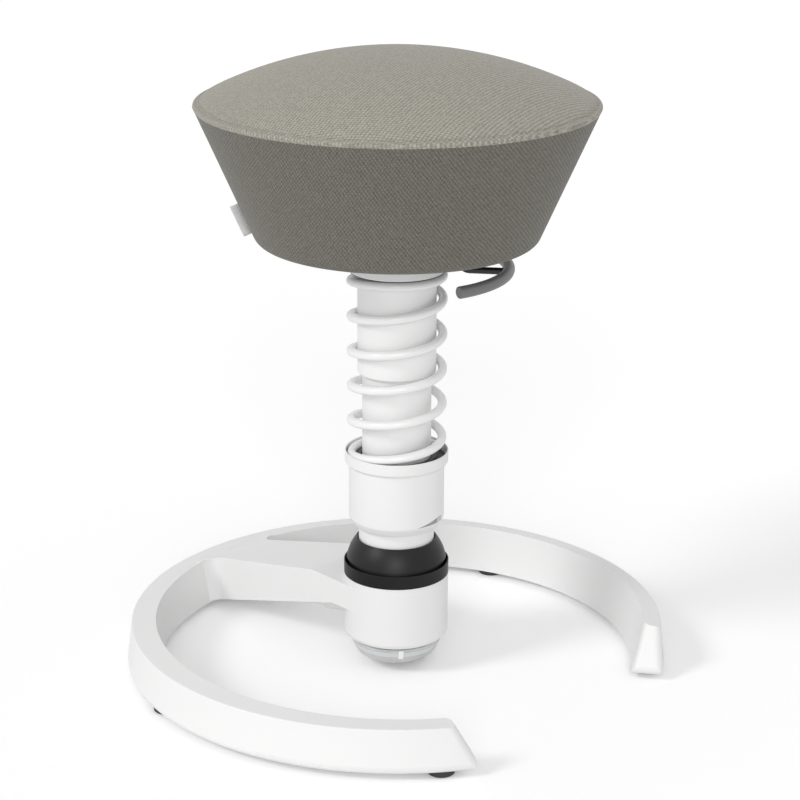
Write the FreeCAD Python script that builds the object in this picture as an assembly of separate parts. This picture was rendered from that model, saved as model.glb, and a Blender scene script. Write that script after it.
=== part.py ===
import FreeCAD, Part
import math
import os

# Wobble stool: a C-shaped foot ring carries a sprung, tilting column and a deep round seat.
# Millimetres. The origin lies on the floor under the column, +Z is up, and the ring opens towards -Y.

V = FreeCAD.Vector
X, Y, Z = V(1, 0, 0), V(0, 1, 0), V(0, 0, 1)
ORIGIN = V(0, 0, 0)

# Clearances
RUN_FIT = 0.05          # radial play of a turning or sliding fit
GAP = 0.35              # air between bodies that move past each other

# Foot ring
RING_R = 250.0          # top outer edge
RING_LEAN = 5.0         # how far the outer wall leans out towards the floor
RING_WIDTH = 19.6       # from the outer edge to the bore, at the crest
RING_FOOT_WIDTH = 32.0  # the same at the underside
RING_TOP_Z = 47.3       # top face at its outer edge
RING_CREST_Z = 50.3     # top face at its inner edge
RING_BORE_R = RING_R - RING_WIDTH
RING_BORE_SHIFT = 5.2   # the bore sits forward, so the ring is thickest at the arm
RING_FOOT_BORE_R = RING_R + RING_LEAN - RING_FOOT_WIDTH
RING_FOOT_SHIFT = 1.5
RING_BASE_Z = 5.5       # underside, which is also the height of the glides
RING_ROUND = 7.5        # outer bottom edge
RING_EDGE = 1.2         # eased top edges
RING_TRIM = 0.05
OPENING_HALF_DEG = 35.5
END_LEAN = 25.0         # each end face slopes down into the opening by this much
END_TIP_FLAT = 1.4      # what the upright roundings leave of an end face at the top
END_TIP = RING_WIDTH - RING_BORE_SHIFT * math.cos(math.radians(OPENING_HALF_DEG))
END_ROUND = (END_TIP - END_TIP_FLAT) / 2
END_FOOT_ROUND = 7.0    # bottom edge of each end face

# Glides under the ring
GLIDE_R = 12.0
GLIDE_INSET = 13.0      # from the ring's top outer edge to a glide's middle
GLIDE_PLACE_R = RING_R - GLIDE_INSET
GLIDE_EDGE = 0.8
GLIDE_HEAD_DEPTH = 1.0  # the screw heads sit this far up in the glides
GLIDE_ANGLES = (-52.5, 18.5, 90.0, 161.5, 232.5)
GLIDE_SCREW_R = 3.0
GLIDE_SCREW_HEAD_R = 5.5
GLIDE_SCREW_HEAD = 1.6
GLIDE_SCREW_LENGTH = 16.0

# Hub at the middle of the ring
HUB_R = 48.9
HUB_TOP_Z = 91.0
HUB_TOP_EDGE = 0.8
HUB_FOOT_Z = 28.3
HUB_FOOT_ROUND = 7.0
HUB_BORE_R = 42.0
HUB_REBATE_R = 46.2
HUB_REBATE_Z = 75.5

# Arm from the hub to the ring
ARM_EDGE_Z = 84.5       # top face beside the hub
ARM_FLAT = 70.0         # how far that height runs out from the axis
ARM_TAPER_DEG = 4.4     # each side leans in from the hub's tangent
ARM_CORNER_R = 14.0     # where the arm's sides meet the ring
ARM_ROOT_Z = 60.0       # underside beside the hub
ARM_ROOT_Y = 40.0
ARM_ROOT_ROUND = 12.0
ARM_KNEE_Y = 100.0
ARM_KNEE_Z = 42.0
ARM_KNEE_ROUND = 60.0
ARM_CREST_ROUND = 30.0
ARM_SINK = 3.0          # how far the arm's underside runs into the ring
BOSS_R = 15.0
BOSS_TIP_R = 13.0
BOSS_Z = 56.0           # the boss's axis at the hub's middle
BOSS_TILT_DEG = 9.0     # it points down towards the ring
BOSS_STEP_Y = 90.0
BOSS_END_Y = 122.0
ARM_SCREW_R = 4.0
ARM_SCREW_HEAD_R = 6.5
ARM_SCREW_HEAD = 6.0
ARM_SCREW_LENGTH = 42.0

# Tilting joint: everything turns about one point, and the shells round it are parts of spheres
PIVOT_Z = 96.0
BALL_R = 24.0
BUSH_R = 39.6
BUSH_FOOT_DROP = 36.0   # the bush spans these depths under the pivot
BUSH_TOP_DROP = 4.0
SOCKET_R = BUSH_R + GAP
SOCKET_TOP_Z = HUB_REBATE_Z
SOCKET_FOOT_Z = 39.0
SOCKET_THROAT_R = 17.0
BASE_PLATE = 5.0
BASE_SCREW_PCD = 72.0
BASE_SCREWS = 3
BASE_SCREW_R = 2.5
BASE_SCREW_HEAD_R = 4.5
BASE_SCREW_HEAD = 2.5
BASE_SCREW_GRIP = 9.0

# Stiffness adjuster under the hub
KNOB_R = 43.2
KNOB_TOP_Z = HUB_FOOT_Z - 0.9
KNOB_FOOT_Z = 7.0
KNOB_FOOT_R = 28.0
KNOB_WAIST_R = 37.5
KNOB_WAIST_Z = 12.5
KNOB_WALL = 2.5
KNOB_MARK_DEG = 229.5
KNOB_MARK_WIDTH = 4.5
KNOB_SCALE_Z = 21.5
KNOB_SCALE_WIDTH = 5.0
KNOB_SCALE_PROUD = 0.4
SPINDLE_R = 6.0
SPINDLE_FLANGE_R = 11.0
SPINDLE_FLANGE = 3.0
SPINDLE_TOP_Z = 53.0
PRESS_PLATE_R = 16.0
PRESS_PLATE = 5.0
PRESS_TRAVEL = 2.0
PRESS_FLAT = 1.0        # flat on one side that keeps the plate from turning

# Rubber band and boot between hub and neck
BAND_R = 49.2
BAND_LIP = 1.0
BAND_TOP_Z = 103.5
BAND_SEAT = 2.2
BOOT_R = 47.85
BOOT_SKIRT_R = 45.4
BOOT_INNER_R = 43.2
BOOT_EDGE_Z = 106.5
BOOT_FOOT_Z = 88.0
BOOT_TOP_Z = 126.0
BOOT_DIP_Z = 123.2
BOOT_LIP_R = 36.6

# Neck and guide tube
NECK_R = 35.3
NECK_FOOT_Z = 119.0
NECK_TOP_Z = 190.0
GUIDE_R = 31.9
GUIDE_WALL = 3.0
GUIDE_FOOT_Z = 136.0
GUIDE_TOP_Z = 331.0
FLANGE = 9.0
STEM_R = 16.0
STOP_R = 20.0
STOP_BORE_R = 12.0
STOP_HEIGHT = 2.5

# Adjusting cup that turns on the neck and sets the spring
CUP_R = 44.4
CUP_WALL = 3.0
CUP_FOOT_R = 40.0
CUP_FOOT_Z = 140.2
CUP_CHAMFER_Z = 147.5
CUP_FLOOR = 5.0
CUP_RIM_R = 48.0
CUP_RIM_WALL = 1.1
CUP_RIM_Z = 202.0
CUP_TOP_Z = 212.5
CUP_TRAVEL = 4.0
SCALE_DEG = (248.7, 282.0)
SCALE_FOOT_Z = 148.2
SCALE_RISE = 5.0
SCALE_DEPTH = 0.4
SCALE_BAR = 1.2
SCALE_BARS = (1.4, 3.6, 5.8)

# Spring round the tubes
WIRE_R = 4.15
SPRING_R = 42.0
SPRING_TURNS = 5.0      # turns at full pitch
SPRING_FOOT_Z = 208.3   # wire centre of the flat turn in the cup
OPEN_START_DEG = 133.0  # where the wire leaves its seat
DEAD_FOOT_DEG = 150.0   # flat wire before the first open turn
SPRING_START_DEG = OPEN_START_DEG - DEAD_FOOT_DEG
DEAD_TOP_DEG = 225.0    # flat wire under the cap
RISE_TOP_DEG = 90.0     # last part turn, where the wire lies down again
RISE_TOP = 5.2
SEAT_RING_BORE_R = GUIDE_R + 1.2
SEAT_RING = 6.0
LUG_DEG = 24.0
LUG_RISE = 3.5

# Upper column, which rides on the spring
CAP_R = 43.8
CAP_Z = 384.2
CAP_TOP_Z = 396.0
PAD_THICK = 0.6
SPRING_HEAD_Z = CAP_Z - PAD_THICK - WIRE_R - 0.05
SPRING_PITCH = (SPRING_HEAD_Z - RISE_TOP - SPRING_FOOT_Z) / SPRING_TURNS
UPPER_TUBE_R = 36.1
UPPER_TUBE_WALL = 2.8
UPPER_TUBE_Z = 287.8
UPPER_TUBE_ROUND = 2.0
CARRIER_R = 25.0
CARRIER_WALL = 3.0
CARRIER_FOOT_Z = 193.0
CARRIER_FLOOR_Z = 195.0
CARRIER_FLOOR = 6.0
GLIDE_BUSH_LENGTH = 12.0
SLIDE_RING_LENGTH = 10.0
CYL_BUSH_R = 18.0
CYL_BUSH_LENGTH = 36.0
BOUNCE_TRAVEL = 50.0

# Gas spring
CYL_R = 14.0
CYL_WALL = 1.7
CYL_FOOT_Z = 345.0
CYL_END = 6.0
CYL_TAPER_Z = 512.0
CYL_TOP_Z = 538.0
CYL_TOP_R = 12.8
ROD_R = 5.0
ROD_FOOT_Z = 192.2
ROD_TOP_Z = 360.0
PISTON_HEIGHT = 8.0
CLIP_R = 9.0
CLIP_THICK = 1.4
RACE_R = 12.0
RACE_THICK = 1.6
RACE_BALL_R = 1.3
RACE_BALL_PCD = 17.0
RACE_BALLS = 12
PIN_R = 4.0
PIN_LENGTH = 10.0
PIN_TOP_Z = 542.8
LIFT_TRAVEL = 130.0

# Seat
SEAT_R = 181.2          # at the seam
SEAM_Z = 536.5
CROWN_Z = 583.1
SIDE_SLOPE = 0.452      # outward lean of the side, per mm of height
SIDE_REF_Z = 414.0
SEAT_DRAW = 53.8        # how far the side draws in from the seam to the height above
SIDE_REF_R = SEAT_R - SEAT_DRAW
SEAT_FOOT_Z = 412.3
SEAT_CORNER = 11.0
FABRIC = 2.0
SIDE_FOAM = 8.0
HEM_R = 106.0           # where the cover is turned in underneath
WELL_R = 76.0
WELL_WALL = 6.0
SHELL_WALL = 3.5
DECK_Z = 552.0
DECK = 5.0
DECK_R = 92.0
SHELL_EDGE_Z = 526.0
SHELL_FOOT_Z = 416.5
UNDER_COVER = 2.2
PIPING_R = 1.7
PIPING_INSET = 1.9      # its wire circle lies this far inside the seam's radius
LABEL_WIDTH = 10.5
LABEL_LENGTH = 31.0
LABEL_THICK = 1.0
LABEL_FOOT_Z = 418.5
LABEL_DEG = 133.0

# Seat mechanism
PLATE_R = 68.0
PLATE_THICK = 3.0
HOUSING_Z = 528.0
HOUSING_LENGTH = 74.0
HOUSING_WIDTH = 46.0
HOUSING_SHIFT = 10.0
PLATE_SCREW_PCD = 112.0
PLATE_SCREWS = 4
PLATE_SCREW_R = 3.0
PLATE_SCREW_HEAD_R = 5.5
PLATE_SCREW_HEAD = 3.0
PLATE_SCREW_GRIP = 3.5
UNDER_SCREW_PCD = 2 * (WELL_R + WELL_WALL / 2 + 0.4)
UNDER_SCREWS = 6
UNDER_SCREW_R = 1.6
UNDER_SCREW_HEAD_R = 3.2
UNDER_SCREW_HEAD = 1.6

# Height lever: a rod down the well, an arm out under the seat and a curved grip
LEVER_DEG = -55.0
LEVER_R = 3.15
LEVER_TOP_Z = 544.6
LEVER_DROP_R = 57.0
LEVER_BEND_R = 9.0
LEVER_Z = 386.5
LEVER_PIVOT_R = 40.0
LEVER_PIN_R = 1.5
LEVER_TIP = 3.0         # the rod's inner end passes the pin's centre by this much
LEVER_FLAT = 1.65       # depth of the flat that rests on the pin, under the rod's centre
LEVER_SLOT = 8.0
LEVER_SLOT_DROP = 1.2   # the slot starts this far under the cylinder's top
LEVER_SLOT_BACK = 6.0
GRIP_R = 5.5
GRIP_ARC_R = 101.0
GRIP_HALF_DEG = 50.0
GRIP_EDGE = 1.2


# Shape helpers

def line(a, b):
    return Part.LineSegment(a, b).toShape()


def arc(a, mid, b):
    return Part.Arc(a, mid, b).toShape()


def rounded(corners, place):
    """Closed wire through corners (a, b, radius), each rounded by a tangent arc; place maps a, b to 3-D."""
    edges, count = [], len(corners)
    entries = []
    for i in range(count):
        ax, ay = corners[i - 1][:2]
        bx, by, radius = corners[i]
        cx, cy = corners[(i + 1) % count][:2]
        back, ahead = V(ax - bx, ay - by, 0), V(cx - bx, cy - by, 0)
        back.normalize()
        ahead.normalize()
        corner = V(bx, by, 0)
        if radius <= 0:
            entries.append((corner, None, corner))
            continue
        half = math.acos(max(-1.0, min(1.0, back.dot(ahead)))) / 2
        reach = radius / math.tan(half)
        to_centre = back + ahead
        to_centre.normalize()
        mid = corner + to_centre * (radius / math.sin(half) - radius)
        entries.append((corner + back * reach, mid, corner + ahead * reach))
    for i, (start, mid, end) in enumerate(entries):
        if mid is not None:
            edges.append(arc(place(start), place(mid), place(end)))
        follow = entries[(i + 1) % count][0]
        if (follow - end).Length > 1e-6:
            edges.append(line(place(end), place(follow)))
    return Part.Wire(edges)


def upright(p):
    return V(p.x, 0, p.y)


def turned(corners):
    """Solid of revolution about Z from corners (r, z, radius)."""
    return Part.Face(rounded(corners, upright)).revolve(ORIGIN, Z, 360)


def tube(r_out, r_in, z0, z1):
    return turned([(r_in, z0, 0), (r_out, z0, 0), (r_out, z1, 0), (r_in, z1, 0)])


def disc(r, z0, z1):
    return Part.makeCylinder(r, z1 - z0, V(0, 0, z0))


def ball_zone(r_out, r_in, z0, z1):
    """Part of a spherical shell about the pivot between two heights."""
    centre = V(0, 0, PIVOT_Z)
    shell = Part.makeSphere(r_out, centre, Z, -90, 90, 360)
    if r_in:
        shell = shell.cut(Part.makeSphere(r_in, centre, Z, -90, 90, 360))
    return shell.common(disc(r_out + 1, z0, z1))


def around(shape, angle_deg):
    copy = shape.copy()
    copy.rotate(ORIGIN, Z, angle_deg)
    return copy


def at_polar(r, angle_deg, z):
    a = math.radians(angle_deg)
    return V(r * math.cos(a), r * math.sin(a), z)


def screws(head_r, head, shank_r, length, pcd, count, head_z, start_deg=0.0, up=True):
    """Screws on a circle with their heads at head_z, pointing up or down."""
    way = 1 if up else -1
    result = []
    for i in range(count):
        foot = at_polar(pcd / 2, start_deg + 360.0 * i / count, head_z)
        axis = Z * way
        body = Part.makeCylinder(head_r, head, foot, axis)
        shank = Part.makeCylinder(shank_r, length, foot + axis * head, axis)
        result.append(body.fuse(shank).removeSplitter())
    return result


def cut_all(shape, tools):
    for tool in tools:
        shape = shape.cut(tool)
    return shape


def save(name, shape):
    solids = shape if isinstance(shape, list) else [shape]
    whole = []
    for piece in solids:
        whole.extend(piece.Solids)
    result = whole[0] if len(whole) == 1 else Part.makeCompound(whole)
    bad = [s for s in whole if not s.isValid() or s.Volume <= 0]
    print(name, len(whole), "solids", round(sum(s.Volume for s in whole) / 1000, 2), "cm3", "BAD" if bad else "")
    result.exportStep("parts/" + name + ".step")


# Foot: ring, arm and hub in one casting, on glides

def corner_sliver(corner, way_a, way_b, radius, place):
    """Face outside a rounded corner; swept along the edge and cut away, it leaves the edge round."""
    way_a.normalize()
    way_b.normalize()
    towards = way_a + way_b
    towards.normalize()
    half = math.acos(way_a.dot(way_b)) / 2
    reach = radius / math.tan(half)
    mid = corner + towards * (radius / math.sin(half) - radius)
    start, end, beyond = corner + way_a * reach, corner + way_b * reach, corner - towards * (2 * radius)
    edges = [arc(place(start), place(mid), place(end)), line(place(end), place(beyond)), line(place(beyond), place(start))]
    return Part.Face(Part.Wire(edges))


def ring_outline(foot_round, edge, grow=0.0):
    """Solid inside the ring's outer wall, up to its dished top face."""
    return turned([
        (0, RING_BASE_Z, 0),
        (RING_R + RING_LEAN + grow, RING_BASE_Z, foot_round),
        (RING_R + grow, RING_TOP_Z, edge),
        (RING_BORE_R - RING_WIDTH, ring_top_z(RING_BORE_R - RING_WIDTH), 0),
        (0, ring_top_z(RING_BORE_R - RING_WIDTH), 0),
    ])


def ring_top_z(r):
    return RING_TOP_Z + (RING_CREST_Z - RING_TOP_Z) * (RING_R - r) / RING_WIDTH


def ring_bore():
    rise = RING_CREST_Z - RING_BASE_Z

    def bore_circle(z):
        part = (z - RING_BASE_Z) / rise
        r = RING_FOOT_BORE_R + (RING_BORE_R - RING_FOOT_BORE_R) * part
        shift = RING_FOOT_SHIFT + (RING_BORE_SHIFT - RING_FOOT_SHIFT) * part
        return Part.Wire(Part.makeCircle(r, V(0, -shift, z), Z))

    return Part.makeLoft([bore_circle(RING_BASE_Z - 10), bore_circle(RING_CREST_Z + 15)], True, True)


def opening_cutter():
    """Wedge that opens the ring; its two faces lean so that the ends reach forward at the floor."""
    low_z, high_z = RING_BASE_Z - 10, RING_CREST_Z + 10
    slope = END_LEAN / (RING_CREST_Z - RING_BASE_Z)
    reach = RING_R * 1.6

    def section(z):
        inward = slope * (RING_CREST_Z - z)
        half = math.radians(OPENING_HALF_DEG)
        points = []
        for side in (-1, 1):
            along = V(side * math.sin(half), -math.cos(half), 0)
            across = V(-side * math.cos(half), -math.sin(half), 0)
            near = along * (RING_R * 0.5) + across * inward
            far = along * reach + across * inward
            points.append((near, far))
        (a, b), (c, d) = points
        loop = [a, b, d, c]
        loop = [V(p.x, p.y, z) for p in loop]
        return Part.makePolygon(loop + [loop[0]])

    return Part.makeLoft([section(low_z), section(high_z)], True, True)


def ring_solid():
    """Open ring: a little too wide at first, so that its ends can be rounded before its outline is trimmed."""
    ring = ring_outline(0, 0, RING_TRIM).cut(ring_bore()).cut(opening_cutter())
    tall = (RING_TOP_Z - RING_BASE_Z) / 2
    upright_edges = [e for e in ring.Edges
                     if len(e.Vertexes) > 1 and e.BoundBox.ZLength > tall and e.BoundBox.YMax < 0]
    ring = cut_all(ring.makeFillet(END_ROUND, upright_edges), end_foot_tools())
    return ring.common(ring_outline(RING_ROUND, RING_EDGE))


def end_foot_tools():
    """Slivers along the bottom edge of each end face."""
    half = math.radians(OPENING_HALF_DEG)
    tools = []
    for side in (-1, 1):
        along = V(side * math.sin(half), -math.cos(half), 0)
        across = V(-side * math.cos(half), -math.sin(half), 0)

        def place(p):
            return along * (RING_R * 0.5) + across * p.x + Z * p.y

        corner, up = V(END_LEAN, RING_BASE_Z, 0), V(-END_LEAN, RING_CREST_Z - RING_BASE_Z, 0)
        tools.append(corner_sliver(corner, V(-1, 0, 0), up, END_FOOT_ROUND, place).extrude(along * RING_R))
    return tools


def arm_solid():
    taper = math.radians(ARM_TAPER_DEG)
    tangent_y = HUB_R * math.sin(taper)
    tangent_x = HUB_R * math.cos(taper)
    wide_at_axis = HUB_R / math.cos(taper)

    def side_x(y):
        return wide_at_axis - y * math.tan(taper)

    # The corner arc touches the side line and the ring's inner circle
    keep_r = RING_BORE_R - ARM_CORNER_R
    y = keep_r
    for _ in range(40):
        x = side_x(y) + ARM_CORNER_R / math.cos(taper)
        y = math.sqrt(keep_r ** 2 - x ** 2) - RING_BORE_SHIFT
    centre = V(side_x(y) + ARM_CORNER_R / math.cos(taper), y, 0)
    on_side = centre + V(-math.cos(taper), -math.sin(taper), 0) * ARM_CORNER_R
    outward = centre - V(0, -RING_BORE_SHIFT, 0)
    outward.normalize()
    on_ring = centre + outward * ARM_CORNER_R
    between = (on_side + on_ring) * 0.5 - centre
    between.normalize()
    corner_mid = centre + between * ARM_CORNER_R
    far_y = (RING_R + RING_BORE_R) / 2 - RING_BORE_SHIFT

    def mirror(p):
        return V(-p.x, p.y, p.z)

    foot = V(tangent_x, tangent_y, 0)
    end = V(on_ring.x, far_y, 0)
    inner = V(tangent_x, 0, 0)
    edges = [
        line(mirror(inner), inner),
        line(inner, foot),
        line(foot, on_side),
        arc(on_side, corner_mid, on_ring),
        line(on_ring, end),
        line(end, mirror(end)),
        line(mirror(end), mirror(on_ring)),
        arc(mirror(on_ring), mirror(corner_mid), mirror(on_side)),
        line(mirror(on_side), mirror(foot)),
        line(mirror(foot), mirror(inner)),
    ]
    plan = Part.Face(Part.Wire(edges)).extrude(Z * (HUB_TOP_Z + 10))

    ring_y = RING_BORE_R - RING_BORE_SHIFT
    side = rounded([
        (0, ARM_ROOT_Z, 0),
        (ARM_ROOT_Y, ARM_ROOT_Z, ARM_ROOT_ROUND),
        (ARM_KNEE_Y, ARM_KNEE_Z, ARM_KNEE_ROUND),
        (ring_y - ARM_SINK, RING_BASE_Z, 0),
        (far_y, RING_BASE_Z, 0),
        (far_y, ring_top_z(RING_R - RING_WIDTH / 2), 0),
        (ARM_FLAT, ARM_EDGE_Z, ARM_CREST_ROUND),
        (0, ARM_EDGE_Z, 0),
    ], lambda p: V(-HUB_R * 2, p.x, p.y))
    return plan.common(Part.Face(side).extrude(X * HUB_R * 4))


def hub_solid():
    return turned([
        (0, HUB_FOOT_Z, 0),
        (HUB_R, HUB_FOOT_Z, HUB_FOOT_ROUND),
        (HUB_R, HUB_TOP_Z, HUB_TOP_EDGE),
        (0, HUB_TOP_Z, 0),
    ])


def along_boss(shape):
    """Tip a shape built along +Y from the origin onto the boss's axis."""
    shape.rotate(ORIGIN, X, -BOSS_TILT_DEG)
    shape.translate(Z * BOSS_Z)
    return shape


def boss_solid():
    base = Part.makeCylinder(BOSS_R, BOSS_STEP_Y, ORIGIN, Y)
    tip = Part.makeCylinder(BOSS_TIP_R, BOSS_END_Y, ORIGIN, Y)
    return along_boss(base.fuse(tip))


def arm_screw():
    head_y = BOSS_END_Y - ARM_SCREW_HEAD
    head = Part.makeCylinder(ARM_SCREW_HEAD_R, ARM_SCREW_HEAD, Y * head_y, Y)
    shank = Part.makeCylinder(ARM_SCREW_R, ARM_SCREW_LENGTH, Y * head_y, Y * -1)
    return along_boss(head.fuse(shank).removeSplitter())


def glide_places():
    return [at_polar(GLIDE_PLACE_R, angle, 0) for angle in GLIDE_ANGLES]


def glide_screw(place):
    start = place + Z * GLIDE_HEAD_DEPTH
    head = Part.makeCylinder(GLIDE_SCREW_HEAD_R, GLIDE_SCREW_HEAD, start)
    shank = Part.makeCylinder(GLIDE_SCREW_R, GLIDE_SCREW_LENGTH, start)
    return head.fuse(shank).removeSplitter()


def glide(place):
    pad = Part.makeCone(GLIDE_R - GLIDE_EDGE, GLIDE_R, GLIDE_EDGE, place)
    flank = Part.makeCylinder(GLIDE_R, RING_BASE_Z - GLIDE_EDGE, place + Z * GLIDE_EDGE)
    pad = pad.fuse(flank).removeSplitter()
    well = Part.makeCylinder(GLIDE_SCREW_HEAD_R, GLIDE_HEAD_DEPTH + GLIDE_SCREW_HEAD, place)
    return pad.cut(well).cut(glide_screw(place))


def base_screw_set():
    return screws(BASE_SCREW_HEAD_R, BASE_SCREW_HEAD, BASE_SCREW_R, BASE_PLATE + BASE_SCREW_GRIP,
                  BASE_SCREW_PCD, BASE_SCREWS, SOCKET_FOOT_Z - BASE_PLATE - BASE_SCREW_HEAD, 30.0)


def foot_frame():
    frame = ring_solid().fuse(arm_solid()).fuse(hub_solid()).fuse(boss_solid())
    frame = frame.removeSplitter()
    frame = frame.cut(disc(HUB_BORE_R, HUB_FOOT_Z - 1, HUB_TOP_Z + 1))
    frame = frame.cut(disc(HUB_REBATE_R, HUB_REBATE_Z, HUB_TOP_Z + 1))
    frame = frame.cut(rim_band())
    frame = cut_all(frame, [glide_screw(p) for p in glide_places()])
    return frame.cut(arm_screw())


def rim_band():
    """Rubber lip round the hub's mouth; its foot is let into the rim."""
    inner = BAND_R - BAND_LIP
    return turned([
        (HUB_REBATE_R + 0.6, HUB_TOP_Z - BAND_SEAT, 0),
        (inner + 0.2, HUB_TOP_Z - BAND_SEAT, 0),
        (inner + 0.2, HUB_TOP_Z, 0),
        (BAND_R, HUB_TOP_Z, 0),
        (BAND_R, BAND_TOP_Z, 0.4),
        (inner, BAND_TOP_Z, 0.4),
        (inner, HUB_TOP_Z + 2.0, 1.0),
        (HUB_REBATE_R + 0.6, HUB_TOP_Z + 0.6, 0),
    ])


def socket_cup():
    body = tube(HUB_BORE_R, SOCKET_THROAT_R + 13, SOCKET_FOOT_Z, PIVOT_Z - SOCKET_R + 1)
    bowl = tube(HUB_BORE_R, SOCKET_THROAT_R, PIVOT_Z - BUSH_R - 7, SOCKET_TOP_Z)
    body = body.fuse(bowl).removeSplitter()
    body = body.cut(Part.makeSphere(SOCKET_R, V(0, 0, PIVOT_Z), Z, -90, 90, 360))
    return cut_all(body, base_screw_set())


def hub_base_plate():
    plate = tube(HUB_BORE_R, SPINDLE_R + RUN_FIT, SOCKET_FOOT_Z - BASE_PLATE, SOCKET_FOOT_Z)
    return cut_all(plate, base_screw_set())


# Stiffness adjuster

def knob_outline(inset):
    return [
        (0, KNOB_FOOT_Z + inset, 0),
        (KNOB_FOOT_R, KNOB_FOOT_Z + inset, 6),
        (KNOB_WAIST_R - inset * 0.8, KNOB_WAIST_Z + inset * 0.6, 14),
        (KNOB_R - inset, KNOB_TOP_Z - 2, 4),
    ]


def stiffness_knob():
    shell = turned(knob_outline(0) + [(KNOB_R, KNOB_TOP_Z, 0), (0, KNOB_TOP_Z, 0)])
    hollow = turned(knob_outline(KNOB_WALL) + [(KNOB_R - KNOB_WALL, KNOB_TOP_Z + 1, 0), (0, KNOB_TOP_Z + 1, 0)])
    knob = shell.cut(hollow)
    boss = disc(SPINDLE_FLANGE_R + 2, KNOB_FOOT_Z + KNOB_WALL - 0.5, KNOB_TOP_Z - SPINDLE_FLANGE)
    knob = knob.fuse(boss).removeSplitter()
    return knob.cut(adjust_spindle()).cut(knob_scale()).cut(knob_mark())


def knob_skin(z0, z1, depth, proud):
    """Thin layer on the knob's flank between two heights."""
    outer = turned([(c[0] + (proud if i else 0), c[1], c[2]) for i, c in enumerate(knob_outline(0))]
                   + [(KNOB_R + proud, KNOB_TOP_Z, 0), (0, KNOB_TOP_Z, 0)])
    inner = turned(knob_outline(depth) + [(KNOB_R - depth, KNOB_TOP_Z + 1, 0), (0, KNOB_TOP_Z + 1, 0)])
    return outer.cut(inner).common(disc(KNOB_R + 5, z0, z1))


def knob_sector():
    wedge = Part.makeBox(KNOB_R + 5, KNOB_MARK_WIDTH, KNOB_TOP_Z, V(0, -KNOB_MARK_WIDTH / 2, 0))
    return around(wedge, KNOB_MARK_DEG)


def knob_scale():
    z0 = KNOB_SCALE_Z - KNOB_SCALE_WIDTH / 2
    return knob_skin(z0, z0 + KNOB_SCALE_WIDTH, 0.8, 0).cut(knob_sector())


def knob_mark():
    z0 = KNOB_SCALE_Z - KNOB_SCALE_WIDTH / 2 - 2
    return knob_skin(z0, KNOB_TOP_Z - 1, 0.8, KNOB_SCALE_PROUD).common(knob_sector())


def adjust_spindle():
    foot_z = KNOB_FOOT_Z + KNOB_WALL + 2
    stem = disc(SPINDLE_R, foot_z, SPINDLE_TOP_Z)
    flange_z = KNOB_TOP_Z - SPINDLE_FLANGE
    return stem.fuse(disc(SPINDLE_FLANGE_R, flange_z, KNOB_TOP_Z)).removeSplitter()


def pressure_plate():
    top_z = PIVOT_Z - BUSH_R - GAP - PRESS_TRAVEL - 0.4
    plate = tube(PRESS_PLATE_R, SPINDLE_R + RUN_FIT, top_z - PRESS_PLATE, top_z)
    flat = V(PRESS_PLATE_R - PRESS_FLAT, -PRESS_PLATE_R, top_z - 2 * PRESS_PLATE)
    key = Part.makeBox(PRESS_PLATE_R, 2 * PRESS_PLATE_R, 3 * PRESS_PLATE, flat)
    return plate.cut(key)


# Tilting joint and neck

def swing_bush():
    return ball_zone(BUSH_R, BALL_R + GAP, PIVOT_Z - BUSH_FOOT_DROP, PIVOT_Z - BUSH_TOP_DROP)


def ball_stub():
    """Ball, stem and flange that carry the column."""
    flange_z = GUIDE_FOOT_Z - FLANGE
    stem = turned([
        (0, PIVOT_Z, 0),
        (STEM_R, PIVOT_Z, 0),
        (STEM_R, flange_z - 8, 6),
        (GUIDE_R, flange_z, 0),
        (GUIDE_R, GUIDE_FOOT_Z, 0),
        (0, GUIDE_FOOT_Z, 0),
    ])
    return ball_zone(BALL_R, 0, PIVOT_Z - BALL_R, PIVOT_Z + 14).fuse(stem).removeSplitter()


def neck_collar():
    return turned([
        (GUIDE_R, NECK_FOOT_Z + 8, 0),
        (GUIDE_R, NECK_TOP_Z, 0),
        (NECK_R, NECK_TOP_Z, 0.8),
        (NECK_R, NECK_FOOT_Z, 0),
        (NECK_R - 2.5, NECK_FOOT_Z, 0),
    ])


def boot():
    dome = ball_zone(BOOT_R, BOOT_INNER_R, BOOT_EDGE_Z, BOOT_TOP_Z)
    skirt = ball_zone(BOOT_SKIRT_R, BOOT_INNER_R, BOOT_FOOT_Z, BOOT_EDGE_Z + 0.5)
    whole = dome.fuse(skirt).removeSplitter()
    dip = turned([
        (0, BOOT_DIP_Z, 0),
        (NECK_R, BOOT_DIP_Z, 0),
        (BOOT_LIP_R, BOOT_TOP_Z + 0.1, 0),
        (0, BOOT_TOP_Z + 0.1, 0),
    ])
    return whole.cut(dip).cut(disc(NECK_R, BOOT_FOOT_Z, BOOT_TOP_Z))


def guide_tube():
    return tube(GUIDE_R, GUIDE_R - GUIDE_WALL, GUIDE_FOOT_Z, GUIDE_TOP_Z)


def guide_bush():
    inner = GUIDE_R - GUIDE_WALL
    sleeve = tube(inner, CARRIER_R + RUN_FIT, GUIDE_TOP_Z - GLIDE_BUSH_LENGTH, GUIDE_TOP_Z)
    lip = tube(GUIDE_R, CARRIER_R + RUN_FIT, GUIDE_TOP_Z, GUIDE_TOP_Z + 1.5)
    return sleeve.fuse(lip).removeSplitter()


def bump_stop():
    return tube(STOP_R, STOP_BORE_R, GUIDE_FOOT_Z, GUIDE_FOOT_Z + STOP_HEIGHT)


# Spring adjuster

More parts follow.
